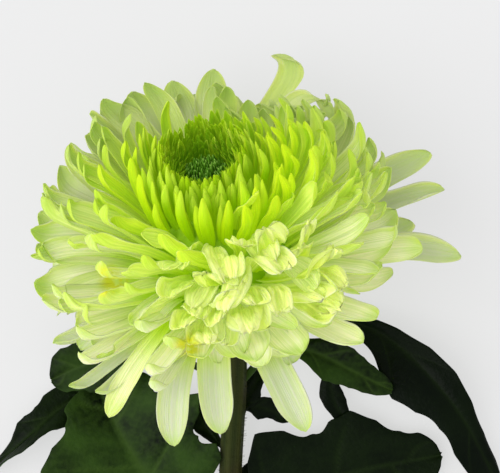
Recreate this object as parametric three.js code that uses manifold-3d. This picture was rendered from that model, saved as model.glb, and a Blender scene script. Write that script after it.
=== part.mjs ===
// A cut green peony chrysanthemum, lying on a surface: one full bloom with its petals in their layers,
// its dark green eye, its cup of bracts, a short stem and six lobed leaves.
// Millimetres, +Z up from the surface. +Y runs from the cut end of the stem towards the bloom.
// The pieces are placed from the middle of the stem's cut end, and the whole is then moved so that
// the origin lies on the surface, under one of the petals that the bloom rests on.
import * as THREE from "three";
import { mergeVertices } from "three/addons/utils/BufferGeometryUtils.js";
import Module from "manifold-3d";

const wasm = await Module();
wasm.setup();

// Driving dimensions
const gap = 0.3; // kept between two pieces that touch
const heart = new THREE.Vector3(1, 150, 37.5); // middle of the receptacle, from the stem's cut end
const faceTilt = 50; // degrees that the bloom's face leans away from straight up
const faceLean = 8; // degrees that it leans to the left of the stem
const petalCount = 210; // that follow the rule, beside the ones listed by hand
const petalThick = 1.1; // at a petal's middle, thinning to its edges
const petalEase = 1.5; // how gently a petal bends along the surface
const crowding = 8; // degrees between a listed petal and one of the rule that gives way to it
const floretCount = 60; // in the eye
const cupDepth = 14; // of the bracts' bowl, below the heart
const stemRadius = 4.1;
const leafThick = 0.9;
const leafRows = 13; // along a leaf
const leafTip = 0.7; // half width left at a leaf's two ends
const lobeSweep = 0.45; // how far a leaf's lobes lean towards its end
const restingPoint = new THREE.Vector3(7.5, 182.7, 0); // under a petal that the bloom rests on

const goldenAngle = Math.PI * (3 - Math.sqrt(5));
const degrees = Math.PI / 180;
const up = new THREE.Vector3(0, 0, 1);

const mix = (a, b, t) => a + (b - a) * t;
const clamp01 = (t) => Math.min(1, Math.max(0, t));
const smooth = (a, b, x) => {
  const t = clamp01((x - a) / (b - a));
  return t * t * (3 - 2 * t);
};

// A repeatable draw from 0 to 1 for item n and purpose k.
function draw(n, k) {
  const x = Math.sin(n * 12.9898 + k * 78.233) * 43758.5453;
  return x - Math.floor(x);
}

// Values at evenly spread ages, joined by straight lines.
function along(values, t) {
  const x = clamp01(t) * (values.length - 1);
  const i = Math.min(values.length - 2, Math.floor(x));
  return mix(values[i], values[i + 1], x - i);
}

// The bloom's own axes: outward through its face, to its right, and to its back.
const face = new THREE.Vector3(
  -Math.sin(faceTilt * degrees) * Math.sin(faceLean * degrees),
  Math.sin(faceTilt * degrees) * Math.cos(faceLean * degrees),
  Math.cos(faceTilt * degrees),
);
const faceRight = new THREE.Vector3(1, 0, 0).addScaledVector(face, -face.x).normalize();
const faceBack = new THREE.Vector3().crossVectors(face, faceRight);

// A place in the bloom: r out from its axis at an azimuth, and h along its axis from the heart.
function spoke(azimuth) {
  const out = faceRight.clone().multiplyScalar(Math.cos(azimuth));
  out.addScaledVector(faceBack, Math.sin(azimuth));
  return { out, side: new THREE.Vector3().crossVectors(face, out) };
}
function inBloom(azimuth, r, h) {
  return heart.clone().addScaledVector(spoke(azimuth).out, r).addScaledVector(face, h);
}

// A petal that would reach below the surface is eased along it instead.
function eased(z, lift, ease) {
  return lift + 0.5 * (z - lift + Math.hypot(z - lift, ease));
}

function solid(geometry) {
  const bare = geometry.index ? geometry.clone() : mergeVertices(geometry);
  bare.deleteAttribute("normal");
  bare.deleteAttribute("uv");
  const merged = mergeVertices(bare, 1e-4);
  const triangles = new Uint32Array(merged.index.array);
  const vertProperties = merged.attributes.position.array;
  const made = new wasm.Manifold(new wasm.Mesh({ numProp: 3, vertProperties, triVerts: triangles }));
  if (made.volume() > 0) return made;
  for (let i = 0; i < triangles.length; i += 3) {
    const second = triangles[i + 1];
    triangles[i + 1] = triangles[i + 2];
    triangles[i + 2] = second;
  }
  return new wasm.Manifold(new wasm.Mesh({ numProp: 3, vertProperties, triVerts: triangles }));
}

const fuse = (solids) => wasm.Manifold.union(solids);

// The body itself, without loose scraps and without what fusing sealed inside it.
function largest(made) {
  return made.decompose().reduce((a, b) => (b.volume() > a.volume() ? b : a));
}

// Rings of points, each joined to the next, with both ends closed, the last one in a point if given.
function loft(rings, tip = null) {
  const points = rings.flat();
  const sides = rings[0].length;
  const index = [];
  for (let k = 0; k + 1 < rings.length; k++)
    for (let i = 0; i < sides; i++) {
      const a = k * sides + i;
      const b = k * sides + ((i + 1) % sides);
      index.push(a, b, a + sides, b, b + sides, a + sides);
    }
  for (let i = 1; i + 1 < sides; i++) index.push(0, i + 1, i);
  const last = (rings.length - 1) * sides;
  if (tip) {
    points.push(tip);
    for (let i = 0; i < sides; i++) index.push(last + i, last + ((i + 1) % sides), points.length - 1);
  } else for (let i = 1; i + 1 < sides; i++) index.push(last, last + i, last + i + 1);
  const geometry = new THREE.BufferGeometry().setFromPoints(points);
  geometry.setIndex(index);
  return solid(geometry);
}

// A solid of revolution about the bloom's axis, from points of radius and height.
function turned(profile, sides) {
  const geometry = new THREE.LatheGeometry(
    profile.map(([r, h]) => new THREE.Vector2(r, h)),
    sides,
  );
  const third = new THREE.Vector3().crossVectors(faceRight, face);
  const place = new THREE.Matrix4().makeBasis(faceRight, face, third).setPosition(heart);
  return solid(geometry.applyMatrix4(place));
}

// A round or ridged tube along a curve, its radius given along its length.
function tube(curve, radius, sides, steps, ridge = 0) {
  const rings = [];
  for (let k = 0; k <= steps; k++) {
    const middle = curve.getPointAt(k / steps);
    const tangent = curve.getTangentAt(k / steps);
    const across = new THREE.Vector3().crossVectors(tangent, up).normalize();
    const over = new THREE.Vector3().crossVectors(across, tangent);
    const ring = [];
    for (let i = 0; i < sides; i++) {
      const turn = ((i + 0.5) / sides) * 2 * Math.PI;
      const r = radius(k / steps) * (i % 2 ? 1 - ridge : 1);
      const place = middle.clone().addScaledVector(across, r * Math.cos(turn));
      ring.push(place.addScaledVector(over, r * Math.sin(turn)));
    }
    rings.push(ring);
  }
  return loft(rings);
}

function curveThrough(points) {
  const places = points.map((p) => new THREE.Vector3(...p));
  return new THREE.CatmullRomCurve3(places, false, "centripetal");
}

// What lies below the surface is cut away, so that the lowest petals and the stem rest on flats.
const below = solid(new THREE.BoxGeometry(400, 500, 40).translate(0, 100, -20));

// How a petal is rooted, reaches and bends by its age, from 0 at the eye to 1 at the cup.
// Angles are in degrees: tipAngle is measured from the bloom's axis, hook curls the end inward.
function petalRule(i) {
  const age = (i + 0.5) / petalCount;
  const jitter = (k, size) => (draw(i, k) - 0.5) * 2 * size;
  const azimuth = (((i * goldenAngle) / degrees + jitter(1, 5) + 180) % 360) - 180;
  const front = Math.exp(-(((azimuth + 68) / 42) ** 2));
  const ruffled = front * smooth(0.12, 0.2, age) * (1 - smooth(0.5, 0.62, age));
  const shortened = 0.2 * Math.max(0, -Math.sin(azimuth * degrees)) * smooth(0.55, 0.9, age);
  const reach = along([51.5, 56, 61, 64.5, 66.5, 65.5, 62, 58, 54, 51, 48], age);
  const hook = along([5, 15, 30, 45, 55, 50, 40, 25, 10, 0, 0], age);
  return {
    azimuth,
    age,
    tipAngle: along([13.5, 17, 22, 29, 37, 47, 58, 70, 82, 93, 104], age) + jitter(2, 2.5),
    reach: reach * (1 + jitter(3, 0.05)) * (1 - shortened),
    width: along([4, 5, 6.5, 8.5, 10.5, 11.5, 12, 12.5, 12.5, 12, 12], age) * (1 + jitter(4, 0.1)),
    bend: along([4, 8, 20, 30, 34, 30, 22, 8, -8, -16, -20], age) + jitter(5, 8),
    hook: mix(hook, -45, ruffled) + jitter(6, 15),
    cup: along([55, 50, 50, 48, 45, 42, 38, 32, 26, 22, 20], age) + jitter(7, 6),
    swerve: jitter(8, 14),
    twist: jitter(9, 16),
  };
}

// Petals that stand out of the rule, by where they show.
const usual = { age: 0.85, bend: 6, hook: 10, cup: 26, swerve: 0, twist: 0 };
const listed = (azimuth, tipAngle, reach, width, more) => {
  return { ...usual, azimuth, tipAngle, reach, width, ...more };
};
const crumpled = (hook, age) => ({ hook, age });
const resting = { age: 0.97, bend: -4, hook: 0 };
const listedPetals = [
  listed(66, 48, 73, 12, { age: 0.55, bend: 4, hook: 75 }), // the tall one, its end curled over
  listed(40, 42, 64, 10, { age: 0.5, bend: 38, hook: 60 }), // arching beside it
  listed(27, 72, 74, 13), // long veined ones at the right
  listed(18, 77, 72, 14),
  listed(22, 90, 64, 13),
  listed(4, 88, 72, 14, { bend: -6 }),
  listed(-8, 72, 64, 13, { age: 0.75 }),
  listed(-25, 66, 58, 12, { age: 0.7, hook: 40 }),
  listed(-34, 73, 58, 12, { age: 0.7, hook: 25 }),
  listed(-44, 79, 58, 13, { hook: 20 }), // hanging at the lower right
  listed(-66, 94, 60, 13, { bend: -6 }),
  listed(-65, 73, 53, 13, { age: 0.7 }),
  listed(-79, 72, 52, 13, { age: 0.7 }),
  listed(-76, 38, 63, 9, crumpled(-40, 0.35)), // below the crater, their ends bent outward
  listed(-62, 47, 63, 10, crumpled(-45, 0.42)),
  listed(-47, 39, 64, 10, crumpled(-30, 0.36)),
  listed(-88, 45, 62, 10, crumpled(-40, 0.42)),
  listed(-75, 57, 59, 11, crumpled(-35, 0.5)),
  listed(-96, 55, 60, 11, crumpled(-20, 0.5)),
  listed(-92, 91, 58, 12, { bend: -10 }), // hanging straight down
  listed(-106, 96, 60, 13, { bend: -10 }),
  listed(-122, 91, 60, 11), // at the lower left
  listed(-128, 84, 58, 9, { hook: 30 }),
  listed(-137, 87, 60, 9, { hook: 30 }),
  listed(-142, 78, 56, 11, { age: 0.75, hook: 40 }),
  listed(-166, 80, 57, 12, { hook: 40 }),
  listed(176, 110, 60, 9, { hook: 20 }),
  listed(178, 70, 61, 12, { age: 0.75, hook: 50 }), // the hooked tip at the far left
  listed(48, 99, 68, 13, resting), // pressed flat on the surface at the back
  listed(64, 97, 67, 13, resting),
  listed(81, 98, 68, 14, resting),
  listed(98, 97, 67, 14, resting),
  listed(115, 98, 68, 13, resting),
  listed(132, 99, 68, 13, resting),
];

// Whether a petal of the rule gives way to a listed one, or would crowd the stem.
function givesWay(p) {
  const direction = (q) => {
    const out = spoke(q.azimuth * degrees).out.multiplyScalar(Math.sin(q.tipAngle * degrees));
    return out.addScaledVector(face, Math.cos(q.tipAngle * degrees));
  };
  const own = direction(p);
  const atStem = p.tipAngle > 92 && Math.sin(p.azimuth * degrees) < -0.4;
  const besides = (q) => own.angleTo(direction(q)) < crowding * degrees && Math.abs(p.age - q.age) < 0.3;
  return atStem || listedPetals.some(besides);
}

// A petal's midline is an arc of turning headings, scaled and turned to run from its root to its tip.
function petalMidline(p, steps = 24) {
  const root = { r: along([12.5, 13, 13.5, 14, 13.5, 13], p.age), h: along([34, 25, 16, 9, 7, 6.5], p.age) };
  const tip = { r: p.reach * Math.sin(p.tipAngle * degrees), h: p.reach * Math.cos(p.tipAngle * degrees) };
  const heading = (s) => (p.bend * (1 - 2 * s) - p.hook * smooth(0.68, 1, s)) * degrees;
  const arc = [{ x: 0, y: 0, q: 0 }];
  for (let k = 0; k < steps; k++) {
    const s = (k + 0.5) / steps;
    const sideways = p.swerve * degrees * (2 * s - 1);
    arc.push({
      x: arc[k].x + (Math.cos(heading(s)) * Math.cos(sideways)) / steps,
      y: arc[k].y + (Math.sin(heading(s)) * Math.cos(sideways)) / steps,
      q: arc[k].q + Math.sin(sideways) / steps,
    });
  }
  const end = arc[steps];
  const scale = Math.hypot(tip.r - root.r, tip.h - root.h) / Math.hypot(end.x, end.y);
  const turn = Math.atan2(tip.r - root.r, tip.h - root.h) - Math.atan2(end.y, end.x);
  const { out, side } = spoke(p.azimuth * degrees);
  return (s) => {
    const k = Math.min(steps - 1, Math.floor(s * steps));
    const f = s * steps - k;
    const x = mix(arc[k].x, arc[k + 1].x, f) * scale;
    const y = mix(arc[k].y, arc[k + 1].y, f) * scale;
    const q = mix(arc[k].q, arc[k + 1].q, f) * scale;
    const point = heart.clone().addScaledVector(side, q);
    point.addScaledVector(out, root.r + x * Math.sin(turn) + y * Math.cos(turn));
    point.addScaledVector(face, root.h + x * Math.cos(turn) - y * Math.sin(turn));
    const angle = turn + heading(s);
    const inward = face.clone().multiplyScalar(Math.sin(angle)).addScaledVector(out, -Math.cos(angle));
    return { point, inward, side };
  };
}

// Half width along a petal: a narrow claw, broadest past the middle, and a rounded end.
function petalHalfWidth(p, s) {
  const claw = mix(0.3, 1, smooth(0, 0.6, s));
  const end = s < 0.62 ? 1 : Math.pow(1 - Math.pow((s - 0.62) / 0.38, 2.1), 0.62);
  return 0.5 * p.width * claw * end;
}

// One petal: a thin boat of four-sided rings, its edges raised towards the bloom's axis.
function petal(p) {
  const midline = petalMidline(p);
  const bow = p.cup * degrees;
  const onSurface = (q, lift) => q.setZ(eased(q.z, lift, petalEase));
  const stations = p.age < 0.3 ? [0.05, 0.6, 0.92] : [0.05, 0.42, 0.72, 0.93];
  const rings = stations.map((s) => {
    const { point, inward, side } = midline(s);
    const turn = p.twist * degrees * s;
    const across = side.clone().multiplyScalar(Math.cos(turn)).addScaledVector(inward, Math.sin(turn));
    const hollow = inward.clone().multiplyScalar(Math.cos(turn)).addScaledVector(side, -Math.sin(turn));
    const half = petalHalfWidth(p, s);
    const spread = (half * Math.sin(bow)) / bow;
    const rise = (half * (1 - Math.cos(bow))) / bow;
    return [
      onSurface(point.clone().addScaledVector(across, spread).addScaledVector(hollow, rise), -0.1),
      onSurface(point.clone().addScaledVector(hollow, petalThick / 2), 0.9),
      onSurface(point.clone().addScaledVector(across, -spread).addScaledVector(hollow, rise), -0.1),
      onSurface(point.clone().addScaledVector(hollow, -petalThick / 2), -0.2),
    ];
  });
  return loft(rings, onSurface(midline(1).point, 0.5));
}

function bloom() {
  const core = turned([[0, 0], [13, 0], [20, 5], [24, 14], [22, 24], [17.5, 34], [11.5, 39.5], [0, 41]], 14);
  const petals = [core, ...listedPetals.map(petal)];
  for (let i = 0; i < petalCount; i++) {
    const p = petalRule(i);
    if (!givesWay(p)) petals.push(petal(p));
  }
  return largest(fuse(petals).subtract(below));
}

// The eye: unopened florets standing close on a low dome at the bottom of the crater.
function eye() {
  const dome = turned([[0, 41 + gap], [7.6, 41 + gap], [8.8, 42.5], [7.2, 45], [4, 46.5], [0, 47]], 12);
  const florets = [];
  for (let i = 0; i < floretCount; i++) {
    const r = 7.8 * Math.sqrt((i + 0.5) / floretCount);
    const azimuth = i * goldenAngle;
    const foot = 46 - 0.05 * r * r;
    const height = 4.5 + 1.2 * draw(i, 21);
    const cone = new THREE.ConeGeometry(0.95, height + 2, 3).translate(0, height / 2 - 1, 0);
    const { out, side } = spoke(azimuth);
    const axis = face.clone().addScaledVector(out, -0.02 * r).normalize();
    const third = new THREE.Vector3().crossVectors(side, axis);
    const place = new THREE.Matrix4().makeBasis(side, axis, third).setPosition(inBloom(azimuth, r, foot));
    florets.push(solid(cone.applyMatrix4(place)));
  }
  return fuse([dome, ...florets]);
}

// The cup: three rows of pointed bracts, overlapping like tiles on a shallow bowl under the petals.
function involucre() {
  const bowlLine = [[0, -cupDepth], [4.5, -cupDepth], [8.5, -11.5], [12.5, -6.5], [14, -gap], [0, -gap]];
  const bowl = turned(bowlLine, 14);
  const rows = [{ r: 5, h: -13, rise: 7 }, { r: 8.6, h: -11, rise: 8 }, { r: 11.5, h: -7.5, rise: 7 }];
  const bracts = [bowl];
  rows.forEach(({ r, h, rise }, row) => {
    const count = 8 + row * 2;
    for (let i = 0; i < count; i++) {
      const azimuth = ((i + row * 0.5) / count) * 2 * Math.PI;
      const { out, side } = spoke(azimuth);
      const at = (dr, dh, dq) => inBloom(azimuth, r + dr, h + dh).addScaledVector(side, dq);
      const ring = (dr, dh, half) => {
        return [at(dr, dh, half), at(dr - 1.2, dh + 0.6, 0), at(dr, dh, -half), at(dr + 0.7, dh - 0.4, 0)];
      };
      const rings = [ring(-0.9, 0, 1.6), ring(rise * 0.42, rise * 0.45, 2.4)];
      bracts.push(loft(rings, at(rise * 0.62, rise * 0.98, 0)));
    }
  });
  const roof = turned([[0, -gap], [40, -gap], [40, 20], [0, 20]], 14);
  return fuse(bracts).subtract(roof);
}

// The stem lies on the surface from its cut end and rises to the bloom.
const stemTop = inBloom(0, 0, -cupDepth - gap);
const stemLine = curveThrough([
  [0, 0, 3.7], [0.6, 30, 3.7], [1.6, 62, 4.6], [2.6, 92, 8.5],
  inBloom(0, 0, -30).toArray(), stemTop.toArray(),
]);
const stemSwell = (s) => mix(stemRadius, stemRadius - 0.5, s) + 0.5 * smooth(0.94, 1, s);
const stem = () => tube(stemLine, stemSwell, 12, 18, 0.1).subtract(below);
const stemRoom = () => tube(stemLine, (s) => stemSwell(s) + gap, 12, 18, 0);

// A leaf: a lobed blade of one thickness about a curved midrib, on a stalk.
// rib and stalk are points, wide is its greatest half width, roll turns it about its midrib in degrees,
// uneven makes its right half wider, notch is the depth of the bays between its lobes, lobes their
// number on a side, blunt rounds its end, and fold lifts its edges in degrees.
const plainLeaf = { uneven: 0, roll: [0, 0], lobes: 3, notch: 0.4, blunt: 4, fold: 12, wave: 1 };
function leaf(shape) {
  const { stalk, rib, wide, seed } = shape;
  const { uneven, roll, lobes, notch, blunt, fold, wave } = { ...plainLeaf, ...shape };
  const line = curveThrough(rib);
  const rows = leafRows;
  const columns = [-1, -0.5, 0, 0.5, 1];
  const grid = [];
  for (let k = 0; k <= rows; k++) {
    const s = k / rows;
    const tangent = line.getTangentAt(s);
    const flat = new THREE.Vector3().crossVectors(tangent, up).normalize();
    const turn = mix(roll[0], roll[1], s) * degrees;
    const across = flat.applyAxisAngle(tangent, turn);
    const over = new THREE.Vector3().crossVectors(across, tangent);
    const oval = smooth(-0.04, 0.42, s) * Math.pow(1 - Math.pow(s, blunt), 0.6);
    grid.push(columns.map((t) => {
      const phase = lobes * s * 1.02 - 0.45 + 0.12 * Math.sign(t);
      const lobed = 1 - notch * smooth(0.15, 1, Math.abs(t)) * (0.5 + 0.5 * Math.cos(2 * Math.PI * phase));
      const half = leafTip + (wide * (1 + uneven * Math.sign(t)) - leafTip) * oval * lobed;
      const p = line.getPointAt(s).addScaledVector(across, t * half);
      p.addScaledVector(tangent, lobeSweep * Math.abs(t) * half * (1 - s));
      p.addScaledVector(over, Math.abs(t) * half * Math.sin(fold * degrees));
      return p.addScaledVector(over, wave * t * t * Math.sin(7 * s + seed + t));
    }));
  }
  const offset = (distance) => grid.flatMap((row, k) => row.map((p, j) => {
    const onward = grid[Math.min(rows, k + 1)][j].clone().sub(grid[Math.max(0, k - 1)][j]);
    const beside = row[Math.min(4, j + 1)].clone().sub(row[Math.max(0, j - 1)]);
    return p.clone().addScaledVector(onward.cross(beside).normalize(), distance);
  }));
  const top = offset(leafThick / 2);
  const bottom = offset(-leafThick / 2);
  const index = [];
  const under = top.length;
  const quad = (a, b, c, d) => index.push(a, b, c, a, c, d);
  for (let k = 0; k < rows; k++)
    for (let j = 0; j < 4; j++) {
      const a = k * 5 + j;
      quad(a, a + 1, a + 6, a + 5);
      index.push(under + a, under + a + 6, under + a + 1, under + a, under + a + 5, under + a + 6);
    }
  for (let k = 0; k < rows; k++) {
    const a = k * 5;
    quad(a, a + 5, under + a + 5, under + a);
    quad(a + 9, a + 4, under + a + 4, under + a + 9);
  }
  for (let j = 0; j < 4; j++) {
    const b = rows * 5 + j;
    quad(j + 1, j, under + j, under + j + 1);
    quad(b, b + 1, under + b + 1, under + b);
  }
  const geometry = new THREE.BufferGeometry().setFromPoints([...top, ...bottom]);
  geometry.setIndex(index);
  const blade = solid(geometry);
  const stalkLine = curveThrough([...stalk, rib[0], line.getPointAt(0.12).toArray()]);
  const stalkTube = tube(stalkLine, (s) => mix(1.5, 0.9, s), 6, 8);
  return largest(fuse([blade, stalkTube]).subtract(stemRoom()));
}

const leaves = {
  leaf_lower_left: {
    stalk: [[1, 44, 4], [-4, 52, 4]],
    rib: [[-12, 62, 5], [-22, 84, 8], [-33, 103, 8], [-41, 119, 4]],
    wide: 32,
    seed: 2,
  },
  leaf_upper_left: {
    stalk: [[2, 118, 18], [-6, 124, 18]],
    rib: [[-18, 128, 18], [-32, 128, 16], [-44, 125, 13], [-55, 120, 9]],
    wide: 11,
    notch: 0.2,
    lobes: 2,
    seed: 3,
  },
  leaf_far_left: {
    stalk: [[1.8, 104, 10], [-10, 112, 4]],
    rib: [[-36, 115, 2], [-50, 112, 3], [-62, 102, 6.5], [-77, 88, 4]],
    wide: 8,
    roll: [0, 70],
    notch: 0.3,
    blunt: 2,
    seed: 4,
  },
  leaf_upper_right: {
    stalk: [[2.3, 116, 17], [8, 122, 15]],
    rib: [[18, 132, 16], [30, 129, 16.5], [42, 123, 16.5], [54, 117, 15.5]],
    wide: 9,
    notch: 0.12,
    lobes: 2,
    seed: 5,
  },
  leaf_far_right: {
    stalk: [[2.6, 100, 9], [12, 122, 6]],
    rib: [[30, 142, 4.5], [52, 134, 7], [74, 112, 11], [90, 84, 4.5]],
    wide: 15,
    blunt: 2.5,
    fold: 6,
    roll: [0, -10],
    notch: 0.2,
    lobes: 2,
    seed: 6,
  },
  leaf_lower_right: {
    stalk: [[1.6, 52, 4.5], [8, 60, 3.5]],
    rib: [[15, 67, 3.5], [28, 84, 4.5], [39, 98, 4.5], [47, 110, 3]],
    wide: 34,
    uneven: 0.12,
    fold: 8,
    seed: 7,
  },
};

const looks = {
  petals: { color: 0xc4dd62, roughness: 0.5 },
  florets: { color: 0x3f7a14, roughness: 0.6 },
  bracts: { color: 0x6d8f3a, roughness: 0.6 },
  stalks: { color: 0x55702c, roughness: 0.6 },
  leaves: { color: 0x24421d, roughness: 0.45 },
};

const flower = new THREE.Group();
flower.name = "green_peony_chrysanthemum";
function add(name, made, look) {
  const mesh = made.getMesh();
  const positions = new Float32Array(mesh.numVert * 3);
  for (let i = 0; i < mesh.numVert; i++)
    positions.set(mesh.vertProperties.subarray(i * mesh.numProp, i * mesh.numProp + 3), i * 3);
  const geometry = new THREE.BufferGeometry();
  geometry.setAttribute("position", new THREE.BufferAttribute(positions, 3));
  geometry.setIndex(new THREE.BufferAttribute(mesh.triVerts, 1));
  const part = new THREE.Mesh(geometry, new THREE.MeshStandardMaterial({ ...look, metalness: 0 }));
  part.name = name;
  flower.add(part);
}
add("ray_petals", bloom(), looks.petals);
add("eye_florets", eye(), looks.florets);
add("involucre", involucre(), looks.bracts);
add("stem", stem(), looks.stalks);
for (const [name, shape] of Object.entries(leaves)) add(name, leaf(shape), looks.leaves);
flower.position.copy(restingPoint).negate();

export default flower;
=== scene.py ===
import math
import bpy
import numpy as np
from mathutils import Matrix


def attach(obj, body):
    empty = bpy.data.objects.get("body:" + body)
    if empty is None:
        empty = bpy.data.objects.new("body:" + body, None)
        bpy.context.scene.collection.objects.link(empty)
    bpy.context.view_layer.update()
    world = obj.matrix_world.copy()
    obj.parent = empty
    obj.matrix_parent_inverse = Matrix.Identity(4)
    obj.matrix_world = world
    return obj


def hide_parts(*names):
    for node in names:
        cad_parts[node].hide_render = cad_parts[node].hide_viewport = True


# A cut green peony chrysanthemum lying on its side. Sizes are in millimetres from the middle of the
# stem's cut end, as in the part's own source, and placed() turns them into the frame's metres.
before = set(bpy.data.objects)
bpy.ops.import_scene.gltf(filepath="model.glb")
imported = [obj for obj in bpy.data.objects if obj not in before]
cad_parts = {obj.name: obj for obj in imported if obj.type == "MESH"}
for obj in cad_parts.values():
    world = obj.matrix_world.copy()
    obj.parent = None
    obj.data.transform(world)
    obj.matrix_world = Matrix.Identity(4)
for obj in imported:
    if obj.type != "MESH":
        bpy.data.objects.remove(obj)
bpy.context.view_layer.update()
print("frame loaded:", len(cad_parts), "nodes")

flower = {
    "heart": (1, 150, 37.5),  # middle of the receptacle
    "faceTilt": 50,  # degrees that the face leans away from straight up
    "faceLean": 8,  # and to the left of the stem
    "restingPoint": (7.5, 182.7, 0),  # under a petal that the bloom rests on
}
goldenAngle = math.pi * (3 - math.sqrt(5))


def mix(a, b, t):
    return a + (b - a) * t


def smooth(a, b, x):
    # a cubic step from 0 at a to 1 at b
    t = np.clip((x - a) / (b - a), 0, 1)
    return t * t * (3 - 2 * t)


def draw(n, k):
    # a repeatable draw from 0 to 1 for item n and purpose k: the fraction of a large sine
    x = np.sin(np.asarray(n) * 12.9898 + k * 78.233) * 43758.5453
    return x - np.floor(x)


def along(values, t):
    # values at even steps from 0 to 1, joined by straight lines
    return np.interp(t, np.linspace(0, 1, len(values)), values)


def hump(x, middle, spread):
    # a bell curve that is 1 at middle: e to minus the square of the distance over spread
    return np.exp(-(((x - middle) / spread) ** 2))


def between(x, a, b, c, d):
    # rises smoothly from 0 at a to 1 at b, and falls again from c to d
    return smooth(a, b, x) * (1 - smooth(c, d, x))


def circle(sides):
    return np.arange(sides) / sides * 2 * math.pi


def unit(v):
    return v / np.maximum(np.linalg.norm(v, axis=-1, keepdims=True), 1e-9)


def placed(points):
    return (np.asarray(points, float) - flower["restingPoint"]) * 0.001


tilt, lean = math.radians(flower["faceTilt"]), math.radians(flower["faceLean"])
face = np.array([-math.sin(tilt) * math.sin(lean), math.sin(tilt) * math.cos(lean), math.cos(tilt)])
faceRight = unit(np.array([1.0, 0, 0]) - face * face[0])
faceBack = np.cross(face, faceRight)
heart = np.array(flower["heart"], float)
up = np.array([0.0, 0, 1])


def spokes(azimuth):
    # outward and sideways directions in the bloom at these azimuths, in radians
    azimuth = np.asarray(azimuth, float)[..., None]
    out = faceRight * np.cos(azimuth) + faceBack * np.sin(azimuth)
    return out, np.cross(face, out)


def inBloom(azimuth, r, h):
    # points at a distance r from the bloom's axis and a height h along it
    r, h = (np.asarray(x, float)[..., None] for x in (r, h))
    return heart + spokes(azimuth)[0] * r + face * h


def curveThrough(points, count=400):
    # a centripetal Catmull-Rom curve through the points, resampled at even steps of its length
    p = np.array(points, float)
    p = np.vstack([2 * p[0] - p[1], p, 2 * p[-1] - p[-2]])
    fine = []
    u = np.linspace(0, 1, 200, endpoint=False)[:, None]
    for a, b, c, d in zip(p, p[1:], p[2:], p[3:]):
        da, db, dc = (max(np.linalg.norm(x), 1e-6) ** 0.5 for x in (b - a, c - b, d - c))
        t1 = ((b - a) / da - (c - a) / (da + db) + (c - b) / db) * db
        t2 = ((c - b) / db - (d - b) / (db + dc) + (d - c) / dc) * db
        fine.append(b + t1 * u + (3 * (c - b) - 2 * t1 - t2) * u ** 2 + (2 * (b - c) + t1 + t2) * u ** 3)
    fine = np.vstack(fine + [p[-2:-1]])
    length = np.concatenate([[0], np.cumsum(np.linalg.norm(np.diff(fine, axis=0), axis=1))])
    even = np.linspace(0, length[-1], count)
    return np.stack([np.interp(even, length, fine[:, k]) for k in range(3)], -1), length[-1]


def onCurve(curve, s):
    # places and headings at shares s of a curve's length
    at = np.linspace(0, 1, len(curve))
    slope = unit(np.gradient(curve, axis=0))
    place = np.stack([np.interp(s, at, curve[:, k]) for k in range(3)], -1)
    return place, unit(np.stack([np.interp(s, at, slope[:, k]) for k in range(3)], -1))


def curveFrame(curve, s):
    # places on a curve, and the directions along it, across it and over it
    middle, heading = onCurve(curve, s)
    acrossWay = unit(np.cross(heading, up))
    return middle, heading, acrossWay, np.cross(acrossWay, heading)


def acrossSheet(columns, share=0.9):
    # places from -1 to 1 across a sheet, closer together towards its edges
    return np.sin(np.linspace(-0.5, 0.5, columns) * math.pi * share) / math.sin(0.5 * share * math.pi)


def overAndUnder(columns, share=0.9):
    # the same over the top and back underneath, with 1 for the top and -1 for the underside
    across = acrossSheet(columns, share)
    return np.concatenate([across, across[-2:0:-1]]), np.repeat([1.0, -1.0], [columns, columns - 2])


def addPiece(name, points, faces, material, nodes, slot, uv=None, values=None):
    # a mesh piece from points in millimetres and arrays of faces, turned outwards, riding on the root;
    # the two parts of uv and the values of the attributes are spread over the points
    flat = placed(points.reshape(-1, 3))
    spread = lambda v: np.broadcast_to(v, points.shape[:-1]).astype(np.float32).ravel()
    corners = np.concatenate([f.ravel() for f in faces]).astype(np.int32)
    sizes = np.concatenate([np.full(len(f), f.shape[1], np.int32) for f in faces])
    starts = np.concatenate([[0], np.cumsum(sizes)[:-1]]).astype(np.int32)
    mesh = bpy.data.meshes.new(name)
    mesh.vertices.add(len(flat))
    mesh.vertices.foreach_set("co", flat.astype(np.float32).ravel())
    mesh.loops.add(len(corners))
    mesh.loops.foreach_set("vertex_index", corners)
    mesh.polygons.add(len(sizes))
    mesh.polygons.foreach_set("loop_start", starts)
    mesh.polygons.foreach_set("use_smooth", np.ones(len(sizes), bool))
    if uv is not None:
        layer = mesh.uv_layers.new(name="surface")
        layer.uv.foreach_set("vector", np.stack([spread(part) for part in uv], -1)[corners].ravel())
    for key, value in (values or {}).items():
        mesh.attributes.new(key, "FLOAT", "POINT").data.foreach_set("value", spread(value))
    mesh.update(calc_edges=True)
    mesh.validate()
    if volumeOf(flat, faces) < 0:
        mesh.flip_normals()
    piece = bpy.data.objects.new(name, mesh)
    bpy.context.scene.collection.objects.link(piece)
    mesh.materials.append(material)
    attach(piece, "root")
    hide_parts(*nodes)
    print(name, "triangles:", int((sizes - 2).sum()))


def volumeOf(flat, faces):
    # six times the signed volume that the faces close off, as fans of triangles from each first corner
    total = 0
    for f in faces:
        for k in range(1, f.shape[1] - 1):
            total += np.einsum("ij,ij->", flat[f[:, 0]], np.cross(flat[f[:, k]], flat[f[:, k + 1]]))
    return total


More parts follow.
